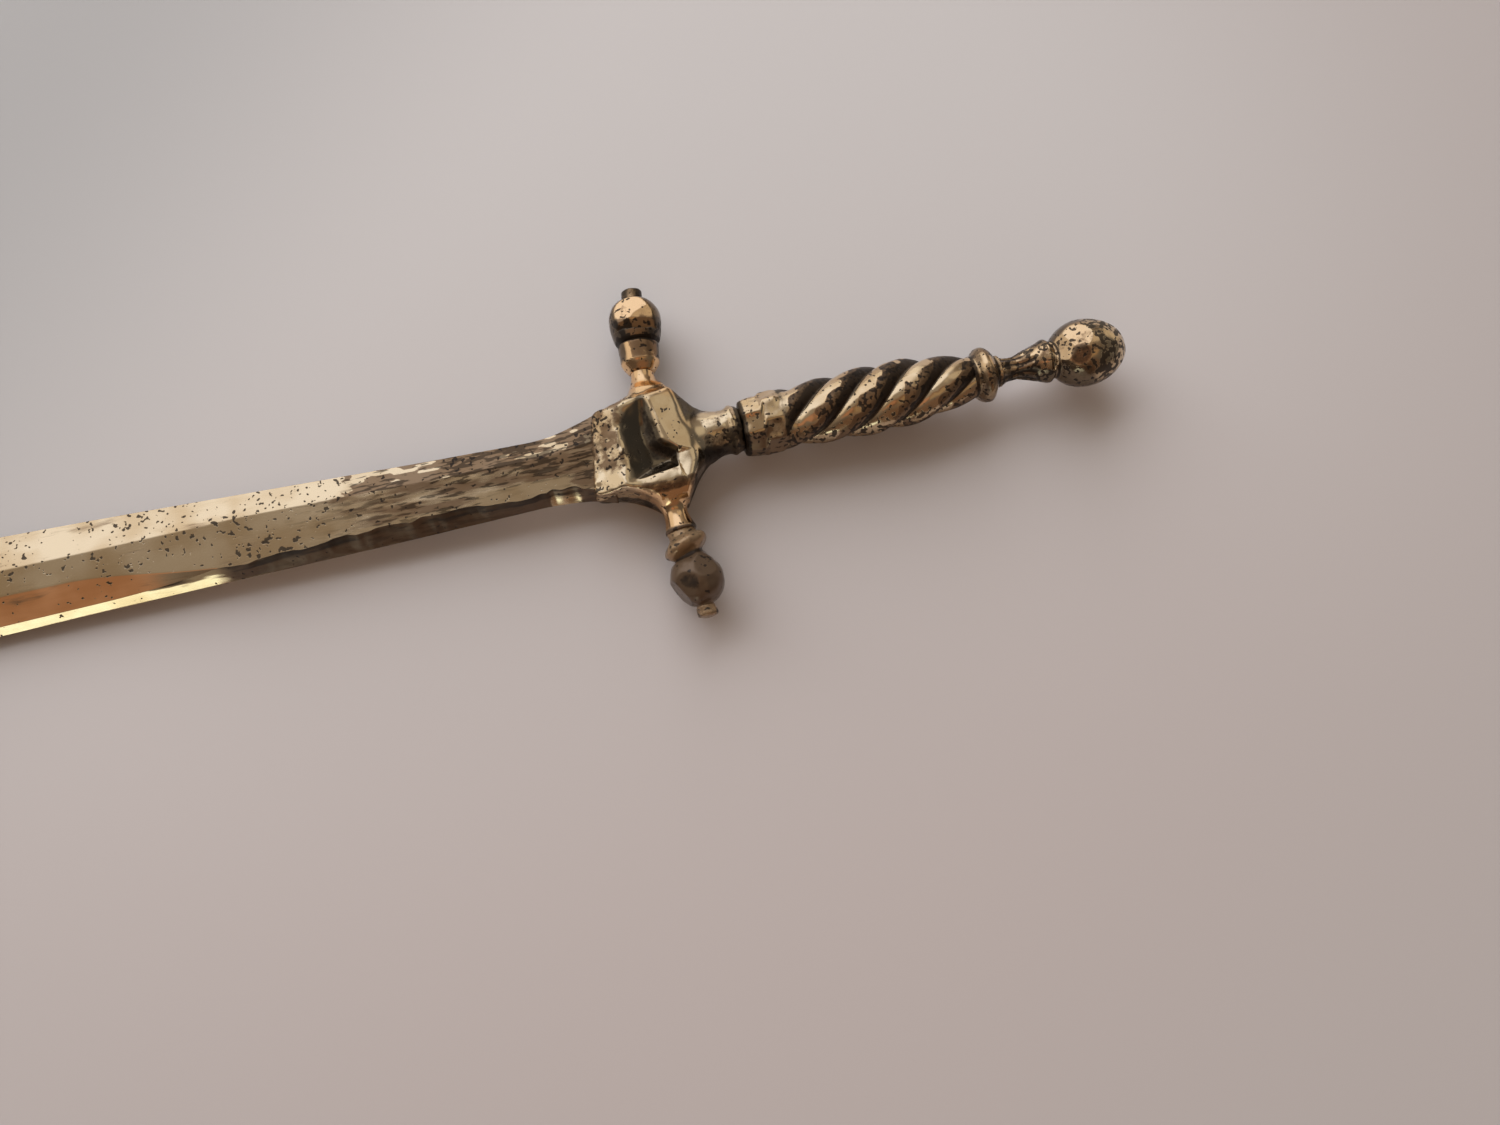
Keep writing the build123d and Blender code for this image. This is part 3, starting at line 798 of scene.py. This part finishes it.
pommel_rings = turned(pommel_x + pommel_at, pommel_radius, (0, 0, axis_z), (1, 0, 0))
striae = np.cos(9 * pommel_turn + 2.5 * lumps(pommel_rings, 2.0, 60))
pommel_dents = 0.06 * lumps(pommel_rings, 1.9, 61) + 0.03 * lumps(pommel_rings, 0.7, 62)
pommel_rings = push(pommel_rings, pommel_dents + 0.07 * on_neck * striae)
egg_middle = np.array([pommel_x + egg_belly, 0, axis_z])
spot_facing = np.array([-0.39, -0.27, 0.88])
spot_distance = 4.42
egg_flats = ((spot_facing, spot_distance), ((-0.64, 0.13, 0.75), 4.28), ((-0.34, 0.29, 0.89), 4.2))
for facing, distance in egg_flats:
    pommel_rings = flatten(pommel_rings, facing, distance, egg_middle)

# %% Where the pommel is stained, and where shade and a reflection are painted
# Painted reflection: the flat that faces the camera is painted dark copper brown, as a dark reflection of the
# camera side.
from_spot = np.linalg.norm(pommel_rings - egg_middle - spot_distance * spot_facing, axis=-1)
painted_reflection_spot = ramp(from_spot, 1.6, 1.1)
far_end = ramp(p + 1.2 * lumps(pommel_rings, 2.5, 63), egg_belly - 0.6, egg_belly + 1.2)
seam = np.exp(-(((p - bead_at - 1.0) / 0.3) ** 2))
pommel_hollow = np.clip(0.7 * on_neck * ramp(-striae, 0.0, 0.8) + 0.8 * seam, 0, 1)
# Painted shade: the egg's sides, and most of all its side towards -Y, are painted slate, less so over the far
# end.
pommel_side = np.maximum(sideways(pommel_rings), ramp(-normals(pommel_rings)[..., 1], 0.4, 0.7))
pommel = ring_piece(
    "pommel_skin",
    pommel_rings,
    hollow=np.clip(pommel_hollow + 0.5 * painted_reflection_spot, 0, 1),
    rough=np.clip(0.35 + 0.6 * far_end + 0.35 * ramp(p, 8.2, 7.2), 0, 1) * (1 - painted_reflection_spot),
    brown=0.3 * on_neck + 0.9 * painted_reflection_spot - 0.5 * far_end,
    patina=0.95 * pommel_side * (1 - 0.6 * far_end),
    copper=0.6 - 0.5 * far_end,
)
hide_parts("pommel")

# %% [markdown]
# ## Shader maths
# A material is a tree of nodes, and arithmetic on its values reads best as Python. The class below wraps a
# socket, so that an expression such as 1 - mask * 0.5 adds the Math nodes for it. Every other node comes
# from one method, which sets the node's own settings first and then the values or links of its sockets.

# %% Sockets with operators
class Value:
    """A socket of a node tree. Arithmetic on it adds Math nodes, and node() adds any other."""

    def __init__(self, tree, socket=None):
        self.tree = tree
        self.socket = socket

    def node(self, kind, settings=None, inputs=None, output=0):
        """Adds a node of that kind, with settings first and then values or links, and gives one output."""
        made = self.tree.nodes.new(kind)
        for name, setting in (settings or {}).items():
            setattr(made, name, setting)
        for key, value in (inputs or {}).items():
            if isinstance(value, Value):
                self.tree.links.new(value.socket, made.inputs[key])
            else:
                made.inputs[key].default_value = value
        return Value(self.tree, made.outputs[output])

    def math(self, operation, a, b):
        """Adds a Math node for two values."""
        return self.node("ShaderNodeMath", {"operation": operation}, {0: a, 1: b})

    def __add__(self, other):
        return self.math("ADD", self, other)

    def __radd__(self, other):
        return self.math("ADD", other, self)

    def __sub__(self, other):
        return self.math("SUBTRACT", self, other)

    def __rsub__(self, other):
        return self.math("SUBTRACT", other, self)

    def __mul__(self, other):
        return self.math("MULTIPLY", self, other)

    def __rmul__(self, other):
        return self.math("MULTIPLY", other, self)

    def ramp(self, start, end):
        """0 before start, 1 after end and a smooth step between, whichever of the two is larger."""
        return self.node(
            "ShaderNodeMapRange",
            {"interpolation_type": "SMOOTHSTEP"},
            {"Value": self, "From Min": start, "From Max": end},
        )

    def mix(self, low, high):
        """Colour that goes from low to high as this value goes from 0 to 1."""
        return self.node("ShaderNodeMix", {"data_type": "RGBA"}, {"Factor": self, 6: low, 7: high}, output=2)


# %% [markdown]
# ## Aged brass
# Polished brass is pale gold, and warmer on the arms and finials. Handling keeps it bright on the crests, and
# it turns olive on flats, brown where nothing rubs it and nearly black in hollows and pits. The material
# mixes these by the masks that the surfaces carry and by noise in the object's own coordinates, and the
# tarnish also dulls the reflection. The same masks also carry painted shade and a painted reflection, which
# are mixed in as slate, brown and near black like the tarnish.

# %% The brass materials
bright_brass = (0.82, 0.64, 0.42, 1)
worn_brass = (0.66, 0.47, 0.27, 1)
warm_brass = (0.86, 0.565, 0.31, 1)
umber = (0.16, 0.088, 0.046, 1)
near_black = (0.020, 0.013, 0.009, 1)
slate = (0.075, 0.064, 0.052, 1)
dull_brown = (0.078, 0.048, 0.031, 1)


def aged_brass(name, grain, pitting):
    """Brass with stains drawn out along the opener by 1 / grain. Where it is rough it has more pits, or fewer
    if pitting is below 0. The hollow, brown and patina masks also carry painted shade and a painted
    reflection."""
    material = bpy.data.materials.new(name)
    material.use_nodes = True
    tree = material.node_tree
    tree.nodes.clear()
    start = Value(tree)

    def mask(attribute):
        """Value that the surface carries under that name, or 0."""
        return start.node("ShaderNodeAttribute", {"attribute_name": attribute}, output="Fac")

    place = start.node("ShaderNodeTexCoord", output="Object")

    def noise(size, stretch=1.0, detail=2.0, coarseness=0.5):
        """Noise with features of that size in mm, longer along X where stretch is under 1."""
        scale = (stretch / (size * MM), 1 / (size * MM), 1 / (size * MM))
        spot = start.node("ShaderNodeVectorMath", {"operation": "MULTIPLY"}, {0: place, 1: scale})
        inputs = {"Vector": spot, "Scale": 1.0, "Detail": detail, "Roughness": coarseness}
        return start.node("ShaderNodeTexNoise", inputs=inputs)

    clouds = noise(6.0)
    patches = noise(1.7, grain, 3.0, 0.6)
    specks = noise(0.65, 1.0, 1.0)
    streaks = noise(0.45, grain, 2.0)
    fine = noise(0.2)
    streak_depth = 0.85 * (1 - grain)
    rough = mask("rough")
    hollow = mask("hollow")
    brown = mask("brown")
    patina = mask("patina")
    dull = mask("dull")
    pits = (specks + 0.05 * mask("pocked") + pitting * rough + 0.35 * (clouds - 0.5)).ramp(0.675, 0.71)
    stain_and_shade = (patches + 0.16 * rough + 0.45 * brown).ramp(0.60, 0.80)
    streak = (streaks + 0.5 * (clouds - 0.5) + 0.35 * (patches - 0.5)).ramp(0.51, 0.58) * rough
    dark_hollow_and_shade = (hollow + 0.5 * (patches - 0.5) + 0.35 * (streaks - 0.5)).ramp(0.30, 0.68)
    colour = (clouds + 0.3 * (patches - 0.5)).ramp(0.35, 0.70).mix(bright_brass, worn_brass)
    colour = mask("copper").mix(colour, warm_brass)
    colour = (stain_and_shade * 0.85).mix(colour, umber)
    colour = (streak * streak_depth).mix(colour, near_black)
    colour = (dull * 0.95).mix(colour, dull_brown)
    colour = (patina * 0.9).mix(colour, slate)
    colour = (dark_hollow_and_shade * 0.92).mix(colour, near_black)
    colour = (pits * 0.92).mix(colour, near_black)
    dirt = start.math("MAXIMUM", start.math("MAXIMUM", pits, dark_hollow_and_shade), stain_and_shade * 0.5)
    skin = start.math("MAXIMUM", dirt, dull * 0.6)
    bump_height = fine * 0.12 + streaks * 0.2 * rough - pits * 0.8 - stain_and_shade * 0.12
    normal = start.node(
        "ShaderNodeBump",
        inputs={"Strength": 0.5, "Distance": 0.05 * MM, "Height": bump_height},
        output="Normal",
    )
    shader = start.node(
        "ShaderNodeBsdfPrincipled",
        inputs={
            "Base Color": colour,
            "Metallic": 1.0 - skin * 0.35 - dull * 0.35,
            "Roughness": 0.10 + 0.28 * skin + 0.08 * patches + 0.04 * rough,
            "Normal": normal,
        },
    )
    output = tree.nodes.new("ShaderNodeOutputMaterial")
    tree.links.new(shader.socket, output.inputs["Surface"])
    return material


polished = aged_brass("aged_brass", 1.0, 0.21)
blade_brass = aged_brass("blade_brass", 0.18, -0.05)
for piece, finish, slot in (
    (blade, blade_brass, "aged_brass"),
    (guard, polished, "aged_brass"),
    (upper_finial, polished, "aged_brass"),
    (lower_finial, polished, "dull_brass"),
    (grip, polished, "aged_brass"),
    (collar, polished, "aged_brass"),
    (pommel, polished, "aged_brass"),
):
    piece.data.materials.append(finish)
    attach(piece, "root")

# %% [markdown]
# ## Floor, light and camera
# The opener lies on a pale board. It rests on the guard's back and on the blade's tip, so the board slopes
# a little in the opener's own frame. Brass mirrors what is round it, so the sky makes its highlights:
# bright towards +Y, tan overhead and brown towards the viewer. A wide, low lamp casts the soft shadow, and
# a weak warm one fills it.

# %% The floor
floor_half = 2500.0
rest_x = shoulder_x + 3.0
rest_z = guard_low[2]
tip_z = axis_z - edge_half
floor_slope = (tip_z - rest_z) / (rest_x - tip_x)
floor_corners = np.array([(-1, -1), (1, -1), (1, 1), (-1, 1)]) * floor_half
floor_points = np.column_stack([floor_corners, rest_z - floor_slope * (floor_corners[:, 0] - rest_x)])
floor_mesh = bpy.data.meshes.new("floor")
floor_mesh.from_pydata((floor_points * MM).tolist(), [], [(0, 1, 2, 3)])
floor = bpy.data.objects.new("floor", floor_mesh)
bpy.context.collection.objects.link(floor)
paper = bpy.data.materials.new("pale_board")
paper.use_nodes = True
board = Value(paper.node_tree)
board_place = board.node("ShaderNodeTexCoord", output="Object")
board_x = board.node("ShaderNodeSeparateXYZ", inputs={0: board_place}, output="X")
board_y = board.node("ShaderNodeSeparateXYZ", inputs={0: board_place}, output="Y")
board_middle = (0.035, 0.02, 0)
board_gap = board.node(
    "ShaderNodeVectorMath", {"operation": "DISTANCE"}, {0: board_place, 1: board_middle}, "Value"
)
# Painted shade: the board is painted darker towards -Y, beyond 7 to 16 cm from board_middle and in the corner
# towards -X and +Y.
board_colour = board_y.ramp(-0.10, 0.06).mix((0.47, 0.405, 0.388, 1), (0.52, 0.487, 0.478, 1))
board_colour = board_gap.ramp(0.07, 0.16).mix(board_colour, (0.45, 0.405, 0.392, 1))
board_colour = (board_y - board_x).ramp(0.015, 0.115).mix(board_colour, (0.375, 0.358, 0.354, 1))
surface = paper.node_tree.nodes["Principled BSDF"]
surface.inputs["Roughness"].default_value = 0.8
paper.node_tree.links.new(board_colour.socket, surface.inputs["Base Color"])
floor_mesh.materials.append(paper)

# %% The sky
world = bpy.data.worlds.new("studio")
bpy.context.scene.world = world
world.use_nodes = True
sky = Value(world.node_tree)
direction = sky.node("ShaderNodeTexCoord", output="Generated")


def patch(towards, inner, outer):
    """1 within inner degrees of a direction, 0 past outer degrees, smooth between."""
    unit = Vector(towards).normalized()
    along = sky.node("ShaderNodeVectorMath", {"operation": "DOT_PRODUCT"}, {0: direction, 1: unit}, "Value")
    return along.ramp(cos(radians(outer)), cos(radians(inner)))


def lay(light, patches):
    """Lays patches over the sky, each given by its direction, its inner and outer degrees and its colour."""
    for towards, inner, outer, colour in patches:
        light = patch(towards, inner, outer).mix(light, (*colour, 1))
    return light


toward_x = sky.node("ShaderNodeSeparateXYZ", inputs={0: direction}, output="X")
toward_y = sky.node("ShaderNodeSeparateXYZ", inputs={0: direction}, output="Y")
toward_z = sky.node("ShaderNodeSeparateXYZ", inputs={0: direction}, output="Z")
overhead = toward_z.ramp(0.76, 0.88)
wide_patches = (
    ((0.0, 0.3, 0.95), 30, 75, (0.295, 0.262, 0.226)),
    ((0.9, -0.1, 0.35), 20, 60, (0.11, 0.105, 0.10)),
    ((0.88, 0.45, 0.08), 12, 22, (0.55, 0.48, 0.38)),
    ((0.0, -0.95, 0.3), 15, 40, (0.20, 0.125, 0.085)),
)
light = lay((0.10, 0.08, 0.068, 1), wide_patches)
light = (toward_y.ramp(-0.03, -0.11) * overhead).mix(light, (0.21, 0.135, 0.092, 1))
viewer = toward_x.ramp(-0.2, 0.0).mix((0.14, 0.076, 0.052, 1), (0.34, 0.255, 0.16, 1))
light = (toward_y.ramp(-0.17, -0.25) * overhead).mix(light, viewer)
bright_patches = (
    ((0.43, 0.40, 0.81), 11, 21, (0.54, 0.50, 0.42)),
    ((-0.36, -0.30, 0.885), 8, 15, (0.42, 0.236, 0.15)),
    ((-0.36, -0.93, 0.045), 7, 13, (1.6, 1.8, 1.6)),
    ((-0.1, 0.93, 0.2), 14, 30, (0.90, 0.88, 0.85)),
    ((-0.75, 0.5, 0.45), 18, 34, (0.80, 0.76, 0.70)),
    ((-0.22, 0.74, 0.63), 16, 32, (1.02, 1.06, 1.15)),
)
light = lay(light, bright_patches)
backdrop = world.node_tree.nodes["Background"]
world.node_tree.links.new(light.socket, backdrop.inputs["Color"])

# %% The lamps
lamp_aim = Vector((0.02, 0, 0))


def soft_lamp(name, width_x, width_y, energy, colour, place):
    """Area lamp that faces the opener and that the brass doesn't mirror."""
    data = bpy.data.lights.new(name, "AREA")
    data.shape = "RECTANGLE"
    data.size = width_x
    data.size_y = width_y
    data.energy = energy
    data.color = colour
    lamp = bpy.data.objects.new(name, data)
    bpy.context.collection.objects.link(lamp)
    lamp.location = place
    lamp.rotation_euler = (lamp_aim - lamp.location).to_track_quat("-Z", "Y").to_euler()
    lamp.visible_glossy = False


soft_lamp("window", 1.3, 0.8, 11.6, (0.96, 1.0, 1.03), (-0.2, 0.66, 0.46))
soft_lamp("fill", 0.8, 0.8, 0.85, (1.0, 0.70, 0.48), (0.1, -0.45, 0.5))

# %% The camera
camera_place = Vector((30.15, -46.89, 158.6)) * MM
camera_aim = Vector((46.92, -18.11, 4.7)) * MM
level_turn = radians(-13.344)
forward = (camera_aim - camera_place).normalized()
hint = Vector((cos(level_turn), sin(level_turn), 0))
right = (hint - forward * hint.dot(forward)).normalized()
upward = right.cross(forward)
camera_data = bpy.data.cameras.new("camera")
camera_data.sensor_width = 36.0
camera_data.lens = 28.8
camera_data.clip_start = 0.01
camera = bpy.data.objects.new("camera", camera_data)
bpy.context.collection.objects.link(camera)
turn_matrix = Matrix((right, upward, -forward)).transposed().to_4x4()
camera.matrix_world = Matrix.Translation(camera_place) @ turn_matrix
bpy.context.scene.camera = camera
bpy.context.scene.view_settings.view_transform = "Standard"
